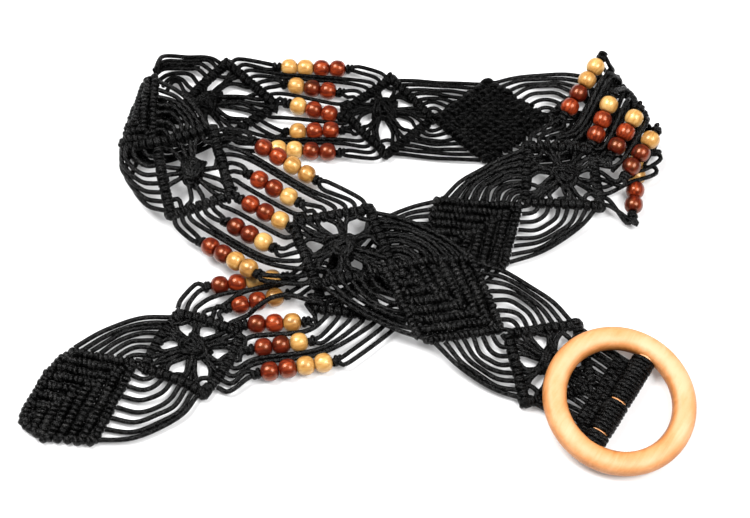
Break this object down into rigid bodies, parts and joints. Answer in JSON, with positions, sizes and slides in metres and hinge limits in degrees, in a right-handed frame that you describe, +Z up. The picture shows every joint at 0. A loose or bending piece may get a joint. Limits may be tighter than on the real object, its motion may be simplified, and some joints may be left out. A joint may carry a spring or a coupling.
{
  "type": "knotted cord belt with wooden beads and a ring buckle",
  "caption": "Knotted black cord belt with open lattices, solid diamonds, rows of wooden beads and a wooden ring buckle, laid folded over itself.",
  "frame": {"origin": "on the floor under the middle of the laid belt's box", "axes": "+X to the right along the longest side, +Y away from the viewer, +Z up"},
  "size_m": [0.3148, 0.2358, 0.0237],
  "materials": {
    "cord": "waxed cord, low sheen",
    "red_bead": "polished mahogany red, glossy varnish",
    "tan_bead": "polished light tan, glossy varnish",
    "ring_wood": "pale honey wood, satin"
  },
  "bodies": {
    "root": {"diamond_1": "cord", "diamond_2": "cord", "diamond_3": "cord", "diamond_4": "cord", "diamond_5": "cord", "lattice_1": "cord", "lattice_2": "cord", "lattice_3": "cord", "lattice_4": "cord", "lattice_5": "cord", "lattice_6": "cord", "lattice_7": "cord", "lattice_8": "cord", "lattice_9": "cord", "beads_1a_red": "red_bead", "beads_1a_tan": "tan_bead", "beads_1b_red": "red_bead", "beads_1b_tan": "tan_bead", "beads_1c_red": "red_bead", "beads_1c_tan": "tan_bead", "beads_1d_red": "red_bead", "beads_1d_tan": "tan_bead", "beads_1e_red": "red_bead", "beads_1e_tan": "tan_bead", "beads_2a_red": "red_bead", "beads_2a_tan": "tan_bead", "beads_2b_red": "red_bead", "beads_2b_tan": "tan_bead", "beads_2c_red": "red_bead", "beads_2c_tan": "tan_bead", "beads_2d_red": "red_bead", "beads_2d_tan": "tan_bead", "beads_2e_red": "red_bead", "beads_2e_tan": "tan_bead", "beads_3a_red": "red_bead", "beads_3a_tan": "tan_bead", "beads_3b_red": "red_bead", "beads_3b_tan": "tan_bead", "beads_3c_red": "red_bead", "beads_3c_tan": "tan_bead", "beads_3d_red": "red_bead", "beads_3d_tan": "tan_bead", "beads_3e_red": "red_bead", "beads_3e_tan": "tan_bead", "beads_4a_red": "red_bead", "beads_4a_tan": "tan_bead", "beads_4b_red": "red_bead", "beads_4b_tan": "tan_bead", "beads_4c_red": "red_bead", "beads_4c_tan": "tan_bead", "beads_4d_red": "red_bead", "beads_4d_tan": "tan_bead", "beads_4e_red": "red_bead", "beads_4e_tan": "tan_bead", "buckle_ring": "ring_wood", "bar_loops": "cord"}
  },
  "joints": []
}
